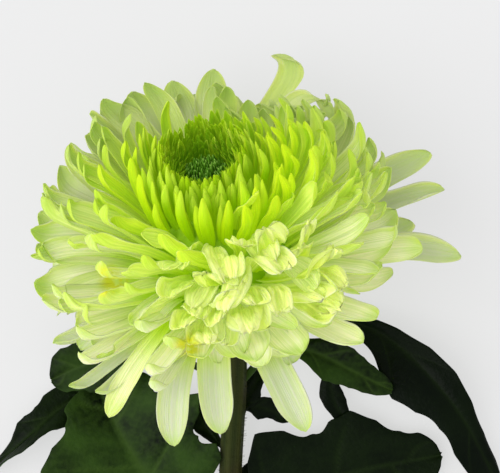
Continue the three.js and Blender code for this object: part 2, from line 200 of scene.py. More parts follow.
def closedTubes(copies, rows, ring, cap):
    # quads between neighbouring rings of many tubes whose points are ordered tube, row, ring, and a cap
    # of triangles on both ends of each
    n, k, j = np.meshgrid(np.arange(copies), np.arange(rows - 1), np.arange(ring), indexing="ij")
    a = (n * rows + k) * ring + j
    b = (n * rows + k) * ring + (j + 1) % ring
    first = (np.arange(copies) * rows * ring)[:, None, None]
    last = first + (rows - 1) * ring
    ends = np.concatenate([(first + cap[:, ::-1]).reshape(-1, 3), (last + cap).reshape(-1, 3)])
    return [np.stack([a, b, b + ring, a + ring], -1).reshape(-1, 4), ends]


def sheetFaces(copies, rows, columns):
    # flat tubes, whose rings run over the top and back underneath
    ring = 2 * columns - 2
    c = np.arange(columns - 1)
    under, onward = (ring - c) % ring, (ring - c - 1) % ring
    cap = np.concatenate([np.stack([c, c + 1, onward], -1)[:-1], np.stack([c, onward, under], -1)[1:]])
    return closedTubes(copies, rows, ring, cap)


def rodFaces(copies, rows, ring):
    # round tubes, with a fan of triangles on each end
    c = np.arange(1, ring - 1)
    return closedTubes(copies, rows, ring, np.stack([np.zeros_like(c), c, c + 1], -1))


def addTurned(name, profile, sides, *rest):
    # a piece turned about the bloom's axis: a ring of radius r at height h for each pair of the profile
    r, h = np.array(profile, float).T[..., None]
    addPiece(name, inBloom(circle(sides), r, h), rodFaces(1, len(profile), sides), *rest)


# Node helpers for the materials
def feed(tree, node, inputs):
    # a socket is linked to the node's input of that name, and a plain value is set on it
    for key, value in inputs.items():
        if isinstance(value, bpy.types.NodeSocket):
            tree.links.new(value, node.inputs[key])
        else:
            node.inputs[key].default_value = value


def addNode(tree, kind, inputs=None, **settings):
    node = tree.nodes.new(kind)
    for key, value in settings.items():
        setattr(node, key, value)
    feed(tree, node, inputs or {})
    return node


def treeOf(*values):
    # the node tree that the first socket among them is in
    return next(v.id_data for v in values if isinstance(v, bpy.types.NodeSocket))


def sums(operation, a, b=0.0, c=0.0):
    return addNode(treeOf(a, b, c), "ShaderNodeMath", {0: a, 1: b, 2: c}, operation=operation).outputs[0]


def times(*parts):
    product = parts[0]
    for part in parts[1:]:
        product = sums("MULTIPLY", product, part)
    return product


def ramp(x, low, high, bottom=0.0, top=1.0):
    # a smooth step of x from bottom at low to top at high
    inputs = {"Value": x, "From Min": low, "From Max": high, "To Min": bottom, "To Max": top}
    return addNode(treeOf(x), "ShaderNodeMapRange", inputs, interpolation_type="SMOOTHSTEP").outputs[0]


def blended(share, a, b):
    opaque = lambda c: c if isinstance(c, bpy.types.NodeSocket) else (*c, 1)
    inputs = {0: share, 6: opaque(a), 7: opaque(b)}
    return addNode(treeOf(share), "ShaderNodeMix", inputs, data_type="RGBA").outputs[2]


def layered(colour, layers):
    # each layer lies over those before it, by its share
    for share, over in layers:
        colour = blended(share, colour, over)
    return colour


def attribute(tree, name):
    return addNode(tree, "ShaderNodeAttribute", attribute_name=name).outputs["Fac"]


def surfacePlace(tree):
    # across and along on a piece's own map
    uv = addNode(tree, "ShaderNodeUVMap", uv_map="surface").outputs[0]
    return addNode(tree, "ShaderNodeSeparateXYZ", {0: uv}).outputs[:2]


def edgeShare(u):
    # 0 on the midline, 1 at both edges
    return times(sums("ABSOLUTE", sums("SUBTRACT", u, 0.5)), 2.0)


def newMaterial(name):
    material = bpy.data.materials.new(name)
    material.use_nodes = True
    tree = material.node_tree
    return material, tree, tree.nodes["Principled BSDF"]


def newGroup(name, ins, outs):
    group = bpy.data.node_groups.new(name, "ShaderNodeTree")
    for labels, way in ((ins, "INPUT"), (outs, "OUTPUT")):
        for label in labels:
            group.interface.new_socket(label, in_out=way, socket_type="NodeSocketFloat")
    return group, group.nodes.new("NodeGroupInput").outputs, group.nodes.new("NodeGroupOutput").inputs


def makeStreaks():
    # fine lines that run along a petal, bract or stem: noise stretched by Count across it
    ins = ("Across", "Along", "Seed", "Count", "Wander")
    group, i, o = newGroup("streaks", ins, ("Lines", "Soft"))
    x, y = times(i["Across"], i["Count"]), times(i["Along"], i["Wander"])
    place = addNode(group, "ShaderNodeCombineXYZ", {0: x, 1: y, 2: times(i["Seed"], 37.0)}).outputs[0]
    fine = addNode(group, "ShaderNodeTexNoise", {"Vector": place, "Scale": 1.0, "Detail": 2.0}).outputs[0]
    broad = addNode(group, "ShaderNodeTexNoise", {"Vector": place, "Scale": 0.35, "Detail": 1.0}).outputs[0]
    group.links.new(ramp(fine, 0.35, 0.65), o["Lines"])
    group.links.new(ramp(broad, 0.3, 0.7), o["Soft"])
    return group


def makeMottle():
    # soft blotches on Object coordinates, at a size in millimetres
    group, i, o = newGroup("mottle", ("Size", "Detail"), ("Blotch",))
    place = addNode(group, "ShaderNodeTexCoord").outputs["Object"]
    scale = sums("DIVIDE", 1000.0, i["Size"])
    noise = addNode(group, "ShaderNodeTexNoise", {"Vector": place, "Scale": scale, "Detail": i["Detail"]})
    group.links.new(ramp(noise.outputs[0], 0.3, 0.7), o["Blotch"])
    return group


streaks, mottle = makeStreaks(), makeMottle()


def useStreaks(across, length, seed, count, wander):
    inputs = {"Across": across, "Along": length, "Seed": seed, "Count": count, "Wander": wander}
    node = addNode(treeOf(across), "ShaderNodeGroup", inputs, node_tree=streaks)
    return node.outputs["Lines"], node.outputs["Soft"]


def useMottle(tree, size, detail=2.0):
    inputs = {"Size": size, "Detail": detail}
    return addNode(tree, "ShaderNodeGroup", inputs, node_tree=mottle).outputs["Blotch"]


def bump(height, strength, depth):
    # depth in millimetres
    inputs = {"Height": height, "Strength": strength, "Distance": depth * 0.001}
    return addNode(treeOf(height), "ShaderNodeBump", inputs).outputs[0]


# Petals
petals = {
    "ruleCount": 210,  # as many as follow the rule in the part's own source
    "fillCount": 270,  # finer ones between them
    "fillShift": 68,  # degrees that they are turned on
    "rightCount": 240,  # a round of narrow ones of which only the right side stays
    "rightShift": 140,
    "rightSide": (-32, 78),  # degrees
    "youngCount": 300,  # the smallest, close round the eye
    "crowding": 8,  # degrees between a listed petal and one of the rule that gives way to it
    "fillCrowding": 2.3,  # and between a finer petal and one of its age
    "gap": (-10, 16, 0.76),  # below the long right ones: its middle and half width, and the age it starts at
    "thick": 0.6,
    "paintedGlow": 0.18,  # painted light: the petals glow in their own colour, which lifts their shade
    "ease": 1.5,  # how gently a petal bends along the surface
    "lime": (0.58, 0.79, 0.001),
    "crown": (0.33, 0.56, 0.001),
    "deep": (0.11, 0.27, 0.004),
    "olive": (0.27, 0.45, 0.003),
    "pale": (0.79, 0.88, 0.16),
    "white": (0.92, 0.89, 0.7),
    # the oldest petals' colour, greyed partly by painted shade
    "oldShaded": (0.52, 0.53, 0.45),
    "shadow": (0.4, 0.44, 0.22),  # painted shade close to the surface and behind the crater
    "tip": (0.34, 0.53, 0.01),
    # frill: pale rims, ends and crinkle crests of the ruffled petals, partly painted highlight
    "frill": (0.78, 0.88, 0.33),
    "stain": (0.6, 0.59, 0.015),
    "stains": [((-8.2, 135.6), 4), ((-31, 153.6), 4.6)],  # middle and size of the yellowed spots
}
petalLayers = {  # youngest and oldest, rows and columns
    "young_petals": (-1, 0, 12, 5),
    "crown_petals": (0, 0.22, 22, 9),
    "incurved_petals": (0.22, 0.42, 30, 17),
    "middle_petals": (0.42, 0.54, 30, 17),
    "opened_petals": (0.54, 0.68, 28, 15),
    "outer_petals": (0.68, 0.86, 28, 11),
    "hanging_petals": (0.86, 2, 30, 13),
}


def petalRule(i, azimuthShift=0.0, ageOf=None):
    # azimuth turns by the golden angle from one petal to the next, and everything else follows its age
    age = (i + 0.5) / petals["ruleCount"] if ageOf is None else ageOf
    jitter = lambda k, size: (draw(i, k) - 0.5) * 2 * size
    azimuth = np.fmod(np.degrees(i * goldenAngle) + azimuthShift + jitter(1, 5) + 180, 360) - 180
    nearStem = np.maximum(0, -np.sin(np.radians(azimuth)))
    front, left = hump(azimuth, -78, 48), hump(np.mod(azimuth, 360), 180, 60)
    opened = smooth(0.22, 0.38, age)
    clawed = hump(azimuth, -134, 22) * smooth(0.45, 0.6, age)
    ruffled = hump(azimuth, -78, 36) * between(age, 0.33, 0.4, 0.56, 0.68)
    hooked = hump(azimuth, 45, 35) * between(age, 0.4, 0.5, 0.75, 0.85)
    right = hump(azimuth, 20, 45) * between(age, 0.15, 0.25, 0.5, 0.7)
    low = hump(azimuth, 60, 17) * between(age, 0.15, 0.25, 0.6, 0.7)
    shortened = nearStem * (0.2 * smooth(0.55, 0.9, age) + 0.06 * smooth(0.08, 0.22, age))
    shortened = shortened + 0.05 * draw(i, 13) * (1 - smooth(0.1, 0.2, age))
    lowered = 4 * nearStem * (1 - smooth(0.2, 0.4, age)) + 4 * ruffled
    tipAngle = along([11.5, 14.5, 18.5, 25.5, 35, 46, 58, 70, 82, 93, 104], age)
    reach = along([56.5, 58, 59.5, 62.5, 65.5, 65.5, 62, 58, 54, 51, 48], age)
    width = along([3.4, 4, 4.7, 6.8, 9.2, 10.4, 11.2, 11.6, 11.6, 11.2, 11], age)
    hook = along([12, 18, 26, 36, 44, 46, 42, 30, 12, 0, 0], age)
    hook = hook + 35 * left * opened * (age < 0.8) + 35 * clawed + 10 * right + 45 * hooked
    bend = along([4, 8, 14, 12, 10, 6, 2, -2, -10, -16, -20], age)
    bend = bend - opened * (48 * front + 30 * left) * (1 - 0.5 * smooth(0.6, 0.9, age))
    cup = along([78, 76, 66, 54, 46, 42, 38, 34, 30, 26, 24], age)
    return {
        "azimuth": azimuth,
        "age": age,
        "tipAngle": tipAngle + jitter(2, 3) + lowered,
        "reach": reach * (1 + jitter(3, 0.05)) * (1 - shortened) * (1 - 0.15 * low),
        "width": width * (1 + jitter(4, 0.1)) * (1 - 0.2 * clawed - 0.12 * right - 0.3 * ruffled),
        "bend": bend + 30 * clawed + jitter(5, 8),
        "hook": mix(hook, -45, ruffled) + jitter(6, 15),
        "cup": cup + 22 * clawed + 14 * right + jitter(7, 7),
        "swerve": jitter(8, 14) * (1 + 0.6 * opened + right),
        "twist": jitter(9, 16) * (1 + opened + right),
        "aside": jitter(12, 25) * opened * (1 + right),
        "ruffle": ruffled,
        "seed": draw(i, 11),
    }


# Petals that stand out of the rule, by where they show. Those of positive bend and hook curve inward;
# swerve and aside turn counterclockwise, cup is half the arc across, and a row that ends early goes on
# with the usual values.
petalColumns = ("azimuth", "tipAngle", "reach", "width", "age", "bend", "hook", "cup")
petalColumns += ("swerve", "twist", "aside", "ruffle")
usualPetal = (0, 0, 0, 0, 0.85, 6, 10, 26, 0, 0, 0, 0)
shownPetals = [
    (57, 51, 73.5, 8, 0.33, -2, 150, 50, -34, 0, 60, 0.35),  # the tall one, its end folded over
    (49, 50, 60, 9.5, 0.44, -25, 64, 50, -13, 0, -120),  # arching beside it
    (118, 44, 66.5, 11.5, 0.62, 6, 50, 26, 0, 0, 10),  # broad ones behind the crater
    (104, 44, 66, 11, 0.62, 6, 30, 26, 8),
    (90, 43, 67.5, 10.5, 0.62, 6, 40, 26, 0, 0, -10),
    (26, 73, 76, 11.5, 0.85, 6, 10, 44, -8, 18, -8),  # long veined ones at the right
    (18, 77, 73.5, 13, 0.85, 6, 10, 36, -8, -14, -16),
    (22, 90, 64, 13),
    (5, 88, 72.5, 12, 0.85, -6, 10, 38, -6, 12, -14),
    (-8, 73, 64, 12, 0.75, 6, 10, 26, -8, 10, -10),
    (-13, 61, 62, 9.5, 0.68, -8, 90),
    (-4, 48, 64, 7.5, 0.64, 14, 25, 66, 12),
    (-25, 66, 58, 12, 0.7, 6, 40),
    (-36, 75, 59, 11, 0.72, 6, 15, 26, 0, -10, -10),
    (-44, 79, 58, 11, 0.8, 6, 25, 48),  # hanging at the lower right
    (-68, 94, 62, 10, 0.85, -6, 10, 34),
    (-63, 74, 54, 13, 0.72, -4, 10, 36),  # broad ones over it
    (-77, 72, 53, 13.5, 0.72, -4, 10, 34),
    (-93, 68, 54, 12, 0.68, -4, 30, 52, 0, 25),
    (-103, 61, 57, 8.5, 0.66, 12, 60, 62),
    (-90, 88, 62, 10, 0.85, -10, 10, 36, 8, -10),  # hanging straight down
    (-102, 91, 63.5, 10, 0.85, -10, 10, 36, 16, 10),
    (-119, 85, 64, 7, 0.6, -6, 5, 50, 10, 0, 0, 0.3),  # claws at the lower left
    (-124, 80, 62, 5.6, 0.85, 6, 50, 70),
    (-134, 83, 62, 5.6, 0.85, 8, 50, 70),
    (-132, 72, 60, 9, 0.8, 10, 75, 62),
    (-134, 65, 60, 10, 0.76, 10, 65, 62),
    (-109, 69, 58, 8.5, 0.78, 10, 80, 62),
    (-112, 57, 59, 9, 0.74, -4, 70, 66, 0, 20),
    (-108, 74, 58, 7.5, 0.82, 10, 85, 66),
    (-141, 73, 62, 6.5, 0.85, -4, 20, 60),
    (-158, 70, 58, 10, 0.78, 6, 50, 44),
    (-152, 61, 59, 9, 0.74, 6, 65, 52),
    (-162, 54, 62, 11, 0.72, -20, 70),  # pale ones at the left, their tips hooked
    (-140, 40, 62, 9, 0.6, -22, 120),
    (-168, 43, 62, 10.5, 0.64, -25, 85),
    (-141, 32, 63, 6, 0.46, -8, 100),
    (-131, 45, 61, 8, 0.58, -12, 95),
    (176, 110, 60, 9, 0.85, 6, 20),
]
# below the crater, their wide ends turned in or out: the first four columns, then hook, age and swerve
crumpledPetals = [
    (-80, 34, 63, 8, 15, 0.34, 10), (-74, 39, 63, 5.5, -40, 0.36, -10), (-80, 46, 61, 5.4, -95, 0.4, 0),
    (-62, 37, 64, 6.5, 35, 0.48, -15), (-62, 48, 62, 6.2, -85, 0.52, 15),
    (-45, 41, 63, 6, 35, 0.44, 15), (-53, 45, 62, 6.5, 20, 0.36, -10), (-41, 50, 61, 6.5, 30, 0.46, 35),
    (-45, 60, 60, 5, -60, 0.5, -15), (-52, 60, 59, 6.5, -40, 0.5, 15), (-49, 65, 59, 8, -30, 0.6, 0),
    (-67, 58, 59, 5.2, -85, 0.52, -10), (-74, 54, 60, 5.6, -40, 0.44, 5),
    (-79, 49, 61, 7.5, 25, 0.52, 20), (-77, 61, 58, 8, -60, 0.56, -5), (-87, 44, 61, 7, 25, 0.4, -20),
    (-98, 58, 58, 5.5, -30, 0.44, -5), (-94, 55, 58, 5.2, -30, 0.42, 5),
    (-87, 57, 58, 5.8, -40, 0.5, -5), (-91, 63, 57, 7, -30, 0.6, 10),
]
smoothPetals = [
    (-108, 34, 62, 8, 0.38, 4, 35, 50, -10),  # smooth green ones beside them
    (-98, 38, 62, 8.5, 0.36, 0, 40, 50, -25, 20),
    (-114, 40, 61, 7, 0.42, -8, 60, 56),
    (-105, 43, 60, 7, 0.44, -10, -20, 46, 0, 0, 0, 0.5),
    (-119, 48, 60, 7, 0.48, -10, 70, 60),
    (-102, 50, 60, 7, 0.44, -10, -25, 46, 0, 0, 0, 0.6),
]
# pressed flat on the surface at the back
restingPetals = [
    (48, 99, 68, 13), (64, 97, 67, 13), (81, 98, 68, 14), (98, 97, 67, 14), (115, 98, 68, 13),
    (132, 99, 68, 13),
]


def listedPetals():
    full = lambda rows, *more: [(*row, *more, *usualPetal[len(row) + len(more):]) for row in rows]
    crumpled = []
    for azimuth, tipAngle, reach, width, hook, age, swerve in crumpledPetals:
        twist = (azimuth * 13 + tipAngle * 5) % 60 - 30
        bent = (age, usualPetal[5], hook, usualPetal[7], swerve, twist, 0, 1)
        crumpled.append((azimuth, tipAngle, reach, width, *bent))
    rows = full(shownPetals) + crumpled + full(smoothPetals) + full(restingPetals, 0.97, -4, 0)
    chosen = dict(zip(petalColumns, np.array(rows, float).T))
    chosen["seed"] = draw(np.arange(len(rows)), 41)
    return chosen


def direction(p):
    polar = np.radians(p["tipAngle"])[..., None]
    return spokes(np.radians(p["azimuth"]))[0] * np.sin(polar) + face * np.cos(polar)


def picked(p, keep):
    return {key: value[keep] for key, value in p.items()}


def joined(*several):
    return {key: np.concatenate([p[key] for p in several]) for key in several[0]}


def youngPetals():
    # the smallest petals stand in a close ring, their tips rising from the eye's edge to the crown
    i = np.arange(petals["youngCount"], dtype=float)
    share = (i + 0.5) / petals["youngCount"]
    p = petalRule(i + 0.25, 0, -0.12 + 0.12 * share)
    front = hump(p["azimuth"], -90, 60)
    r = mix(5, 12.5, share ** 0.75)
    h = mix(46.5, 54.5, share ** 0.9) + draw(i, 61) * (1 + 2.5 * share) - 4.5 * front * share
    p.update(reach=np.hypot(r, h), tipAngle=np.degrees(np.arctan2(r, h)), width=mix(1.6, 3.1, share))
    p["cup"] = p["cup"] - 25
    return p


def givesWay(p, others, near, likeAge):
    # a petal gives way where another of like age lies within so many degrees, or at the stem
    apart = np.degrees(np.arccos(np.clip(direction(p) @ direction(others).T, -1, 1)))
    like = np.abs(p["age"][:, None] - others["age"][None]) < likeAge
    atStem = (p["tipAngle"] > 92) & (np.sin(np.radians(p["azimuth"])) < -0.4)
    return ((apart < near) & like).any(1) | atStem


def fewer(p):
    # many petals of the crown's outer rows are missing at its back, so that those behind them show, and
    # some in front of the crater
    def stays(share, azimuth, k, *ages):
        return share * hump(p["azimuth"], azimuth, 45) * between(p["age"], *ages) < draw(p["azimuth"], k)

    atBack = stays(0.85, 100, 71, 0.05, 0.1, 0.34, 0.4)
    return picked(p, atBack & stays(0.65, -95, 72, 0.17, 0.21, 0.32, 0.36))


def petalMidlines(p, s, steps=48):
    # each midline adds up short steps along its heading, bend * (1 - 2s) less the hook of its end, and
    # sideways along its swerve, which turns at the end by aside; it is then scaled and turned to run from
    # its root on the receptacle to its tip
    col = lambda key: p[key][:, None]
    curl = mix(0.68, 0.8, smooth(0.2, 0.4, col("age"))) - 0.06 * col("ruffle")
    curl = curl + 0.05 * smooth(70, 110, col("hook"))
    heading = lambda at: np.radians(col("bend") * (1 - 2 * at) - col("hook") * smooth(curl, 1, at))
    mid = (np.arange(steps) + 0.5) / steps
    sideways = np.radians(col("swerve") * (2 * mid - 1) + col("aside") * smooth(0.65, 0.95, mid))
    forward = np.cos(sideways)
    legs = [np.cos(heading(mid)) * forward, np.sin(heading(mid)) * forward, np.sin(sideways)]
    zero = np.zeros((len(p["age"]), 1))
    x, y, q = (np.hstack([zero, np.cumsum(leg, 1) / steps]) for leg in legs)
    rootR = along([12.5, 13, 13.5, 14, 13.5, 13], p["age"])
    rootH = along([34, 25, 16, 9, 7, 6.5], p["age"])
    polar = np.radians(p["tipAngle"])
    spanR, spanH = p["reach"] * np.sin(polar) - rootR, p["reach"] * np.cos(polar) - rootH
    scale = np.hypot(spanR, spanH) / np.hypot(x[:, -1], y[:, -1])
    turn = (np.arctan2(spanR, spanH) - np.arctan2(y[:, -1], x[:, -1]))[:, None]
    at = s * steps
    k = np.minimum(steps - 1, np.floor(at).astype(int))
    x, y, q = (mix(v[:, k], v[:, k + 1], at - k) * scale[:, None] for v in (x, y, q))
    r = rootR[:, None] + x * np.sin(turn) + y * np.cos(turn)
    h = rootH[:, None] + x * np.cos(turn) - y * np.sin(turn)
    out, side = spokes(np.radians(p["azimuth"]))
    points = heart + out[:, None] * r[..., None] + face * h[..., None] + side[:, None] * q[..., None]
    angle = (turn + heading(s))[..., None]
    inward = face * np.sin(angle) - out[:, None] * np.cos(angle)
    return points, inward, np.broadcast_to(side[:, None], points.shape)


def petalSheets(p, rows, columns):
    # each petal is a thin boat: an arc across it whose half angle is its cup, grooves, waves and creases
    # raised on it, an uneven end, and half its thickness to each side, fading to its edges
    s = 1 - (1 - np.linspace(0.04, 1, rows)) ** 1.3
    t, inner = overAndUnder(columns)
    points, inward, side = petalMidlines(p, s)
    heading = unit(np.gradient(points, axis=1))
    turn = np.radians(p["twist"])[:, None, None] * s[:, None]
    acrossWay = side * np.cos(turn) + inward * np.sin(turn)
    hollow = inward * np.cos(turn) - side * np.sin(turn)
    col = lambda key: p[key][:, None, None]
    row = s[:, None]
    blunt = np.where(p["age"] < 0, 0.6, mix(0.55, 1, smooth(0.14, 0.34, p["age"])))[:, None]
    claw = mix(mix(0.35, 0.5, blunt), 1, smooth(0, 0.55, s))
    ruffle = p["ruffle"][:, None]
    shoulder = mix(0.5, 0.74, blunt) + 0.13 * ruffle
    past = np.clip((s - shoulder) / (1 - shoulder), 0, 1)
    fullness = mix(0.95, 0.55, blunt) * (1 - 0.35 * ruffle)
    end = np.power(np.maximum(1 - past ** mix(1.7, 2.8, blunt), 0), fullness)
    flare = mix(claw, 0.7 + 0.9 * smooth(0.5, 0.88, s), ruffle)
    half = (0.5 * p["width"][:, None] * flare * end + 0.15)[..., None]
    bow = np.radians(col("cup")) * (1 + 0.6 * (1 - smooth(0, 0.4, row)) + 0.35 * smooth(0.75, 1, row))
    bow = mix(bow, mix(1.1, 0.3, smooth(0.45, 0.72, row)), col("ruffle"))
    x = half * np.sin(bow * t) / bow
    y = half * (1 - np.cos(bow * t)) / bow
    phase = 40 * col("seed")
    waist = between(row, 0.1, 0.35, 0.85, 0.99)
    crease = hump(t, 0.5 * (col("seed") - 0.5), 0.14)
    grooves = 0.05 * np.cos(2.6 * math.pi * t + 0.8 * np.sin(phase)) + 0.018 * np.cos(6.5 * math.pi * t)
    y = y - half * (0.045 * crease + grooves) * waist
    ripple = np.sin(13 * row + phase + 2.2 * t) + 0.6 * np.sin(26 * row + 2.3 * phase - 3 * t)
    y = y + 0.06 * half * np.abs(t) ** 1.5 * ripple * smooth(0.4, 0.9, row)
    pleats = np.sin(12 * t - 1.7 * phase + 3 * row)
    crinkle = 0.6 * np.sin(3.5 * t + phase) + 0.7 * pleats + 0.6 * ripple
    crinkle = crinkle + 0.5 * np.sin(22 * row + 5 * t + 2 * phase)
    y = y + 0.16 * col("ruffle") * half * crinkle * smooth(0.55, 0.85, row)
    jagged = 1.3 * pleats + 0.9 * np.sin(17 * t + 3 * phase)
    notch = np.sin(4.2 * t + phase) + mix(0.8 * np.sin(11 * t + 2 * phase), jagged, col("ruffle"))
    depth = 0.08 * (blunt[..., None] + 1.4 * col("ruffle")) * col("width")
    uneven = depth * notch * smooth(0.7, 0.95, row) * end[..., None]
    body = petals["thick"] * np.power(np.maximum(1 - t ** 2, 0), 0.9) * mix(1.3, 0.5, row) / 2
    body = body * np.minimum(col("width") / 5, 1)
    x = x - inner * body * np.sin(bow * t)
    y = y + inner * body * np.cos(bow * t)
    surface = points[:, :, None] + acrossWay[:, :, None] * x[..., None] + hollow[:, :, None] * y[..., None]
    surface = surface + heading[:, :, None] * uneven[..., None]
    lift = np.where(inner > 0, 0.35, -0.2) * np.sqrt(np.maximum(1 - t ** 2, 0))
    z = surface[..., 2]
    surface[..., 2] = np.maximum(lift + 0.5 * (z - lift + np.hypot(z - lift, petals["ease"])), 0)
    values = {key: col(key) for key in ("age", "seed", "ruffle")}
    values["inside"] = 0.5 + 0.5 * inner
    # which side of a crinkle a point lies on, for the painted shade and painted highlight of the folds
    values["fold"] = np.clip(0.5 + 0.3 * inner * crinkle, 0, 1)
    # how far a petal stands behind the crater, for its painted shade
    behind = smooth(-0.6, 0.6, np.cos(np.radians(col("azimuth") - 103))) * smooth(0.16, 0.36, col("age"))
    values["behind"] = behind * (1 - 0.6 * smooth(0.72, 0.84, col("age")))
    values["stain"] = 0
    for spot, size in petals["stains"]:
        values["stain"] = values["stain"] + np.exp(-((surface[..., :2] - spot) ** 2).sum(-1) / size ** 2)
    return surface, (0.5 + 0.5 * t, row), values


def makePetalMaterial():
    # lime at the roots and in the crown, whitish with fine veins further out, green at the tips
    material, tree, shader = newMaterial("petal")
    less = lambda x: sums("SUBTRACT", 1.0, x)
    most = lambda a, b: sums("MAXIMUM", a, b)
    tip, frill, shadow = petals["tip"], petals["frill"], petals["shadow"]
    u, v = surfacePlace(tree)
    keys = ("age", "seed", "ruffle", "inside", "fold", "behind", "stain")
    age, seed, ruffle, inside, fold, behind, stain = (attribute(tree, key) for key in keys)
    lines, soft = useStreaks(u, v, seed, 18.0, 1.4)
    outer = ramp(age, 0.18, 0.66)
    # paler towards the ends, on inner faces and with age
    pale = sums("MULTIPLY_ADD", outer, 0.75, times(ruffle, 0.1))
    pale = sums("ADD", pale, times(inside, outer, 0.35))
    pale = times(ramp(v, 0.25, 0.75), sums("MINIMUM", pale, 1.0))
    white = most(times(inside, ramp(age, 0.32, 0.6), 0.95), ramp(age, 0.3, 0.87, 0.0, 0.92))
    white = times(ramp(v, 0.3, 0.65), white, sums("MULTIPLY_ADD", ruffle, -0.8, 1.0))
    # the oldest petals greyer and darker, partly their own colour and partly painted shade
    agedShaded = blended(ramp(age, 0.78, 0.85), petals["white"], petals["oldShaded"])
    # veins, greener edges on the old petals, and paler rims and ends on the ruffled, partly their own thin
    # paler edges and partly painted highlight
    rim = times(ramp(edgeShare(u), 0.4, 0.95), outer)
    vein = times(less(lines), ramp(age, 0.6, 0.85, 0.42, 0.26))
    oldRim = times(rim, less(ruffle), ramp(age, 0.72, 0.86, 0.45, 0.24))
    frillRim = times(most(times(rim, 0.6), ramp(v, 0.78, 0.97, 0.0, 0.45)), ruffle)
    end = times(ruffle, ramp(v, 0.55, 0.8))
    # the crown's lit finger tips paler: painted light
    light = times(ramp(age, 0.3, 0.05), ramp(age, -0.02, 0.04), ramp(v, 0.6, 0.95, 0.0, 0.2))
    tipFrom = sums("SUBTRACT", v, times(ramp(age, 0.7, 0.84), 0.08))
    tipShare = times(ramp(tipFrom, 0.8, 0.96), ramp(age, 0.28, 0.42), 0.6, less(ruffle))
    # behind the crater and round its left greener at the ends and edges, partly their own colour and partly
    # painted shade, and duller there, painted shade; and duller towards the surface that the flower lies on,
    # painted shade
    backRim = times(behind, most(times(rim, 0.8), ramp(v, 0.66, 0.95, 0.0, 0.85)))
    place = addNode(tree, "ShaderNodeTexCoord").outputs["Object"]
    height = addNode(tree, "ShaderNodeSeparateXYZ", {0: place}).outputs[2]
    # dark green round the eye, partly the young petals' own colour and partly painted shade in the crater;
    # olive on the crown's inner faces, painted shade inside the crater
    innerShade = times(inside, ramp(age, 0.3, 0.1), 0.7)
    young = times(ramp(age, -0.1, 0.02, 1.0, 0.0), ramp(v, 0.7, 1.0, 1.0, 0.85))
    spot = times(ramp(stain, 0.15, 0.8), ramp(useMottle(tree, 3.0), 0.1, 0.7, 0.2, 0.9))
    fresh = blended(ramp(age, 0.06, 0.3), petals["crown"], petals["lime"])
    layers = [(pale, petals["pale"]), (white, agedShaded), (vein, tip), (oldRim, tip), (frillRim, frill)]
    # on the ruffled ends, greener in the valleys of the crinkles and paler on their crests: painted shade
    # and painted highlight of the folds
    layers += [(times(end, ramp(fold, 0.6, 0.1, 0.0, 0.35)), tip)]
    layers += [(times(end, ramp(fold, 0.5, 0.9, 0.0, 0.3)), frill)]
    layers += [(light, petals["pale"]), (tipShare, tip), (backRim, tip)]
    layers += [(times(behind, behind, 0.42), shadow), (ramp(height, 0.075, 0.025, 0.0, 0.5), shadow)]
    layers += [(innerShade, petals["olive"])]
    layers += [(young, petals["deep"]), (spot, petals["stain"])]
    colour = layered(fresh, layers)
    folds = useStreaks(u, v, seed, 8.0, 9.0)[0]
    relief = sums("MULTIPLY_ADD", times(folds, ruffle), 4.0, lines)
    # the petal glows in its own colour: painted light
    look = {"Base Color": colour, "Emission Color": colour, "Emission Strength": petals["paintedGlow"]}
    look |= {"Roughness": ramp(soft, 0.0, 1.0, 0.45, 0.6), "Normal": bump(relief, 0.6, 0.15)}
    look |= {"Subsurface Weight": 0.6, "Subsurface Radius": (0.8, 1.0, 0.3), "Subsurface Scale": 0.0012}
    feed(tree, shader, look | {"Specular IOR Level": 0.12})
    return material


def makePetals():
    material = makePetalMaterial()
    rule = petalRule(np.arange(petals["ruleCount"], dtype=float))
    chosen = listedPetals()
    middle, halfWidth, oldest = petals["gap"]
    missing = (rule["age"] > oldest) & (np.abs(rule["azimuth"] - middle) < halfWidth)
    rule = picked(rule, ~givesWay(rule, chosen, petals["crowding"], 0.3) & (rule["ruffle"] < 0.5) & ~missing)
    whole = joined(rule, {key: chosen[key] for key in rule})
    i = np.arange(petals["fillCount"], dtype=float)
    fill = petalRule(i + 0.5, petals["fillShift"], 0.01 + 0.8 * ((i + 0.5) / petals["fillCount"]) ** 2)
    fill["width"] = fill["width"] * (0.8 + 0.25 * draw(i, 62))
    fill["reach"] = fill["reach"] * (0.95 + 0.08 * draw(i, 63))
    fill["twist"] = fill["twist"] * 2
    n = np.arange(petals["rightCount"], dtype=float)
    extra = petalRule(n + 0.77, petals["rightShift"], 0.16 + 0.4 * (n + 0.5) / petals["rightCount"])
    first, last = petals["rightSide"]
    fill = joined(fill, picked(extra, (extra["azimuth"] > first) & (extra["azimuth"] < last)))
    smoothOrLow = (fill["ruffle"] < 0.3) | (fill["tipAngle"] > 42)
    fill = picked(fill, ~givesWay(fill, whole, petals["fillCrowding"], 0.08) & smoothOrLow)
    fill["width"] = fill["width"] * (1 - 0.25 * fill["ruffle"])
    fill["reach"] = fill["reach"] * (1 - 0.07 * fill["ruffle"])
    whole = joined(fewer(joined(whole, fill)), youngPetals())
    print("petals:", len(whole["age"]))
    for name, (low, high, rows, columns) in petalLayers.items():
        p = picked(whole, (whole["age"] >= low) & (whole["age"] < high))
        surface, uv, values = petalSheets(p, rows, columns)
        faces = sheetFaces(len(p["age"]), rows, columns)
        addPiece(name, surface, faces, material, ["ray_petals"], "petal", uv, values)


receptacle = {
    "dark": (0.36, 0.6, 0.003),
    "light": (0.5, 0.75, 0.006),
    "profile": [[0.4, 0], [13, 0], [19, 4], [23, 12], [22, 22], [18, 31], [12.5, 38], [0.4, 40.5]],
    "rows": 57,
}


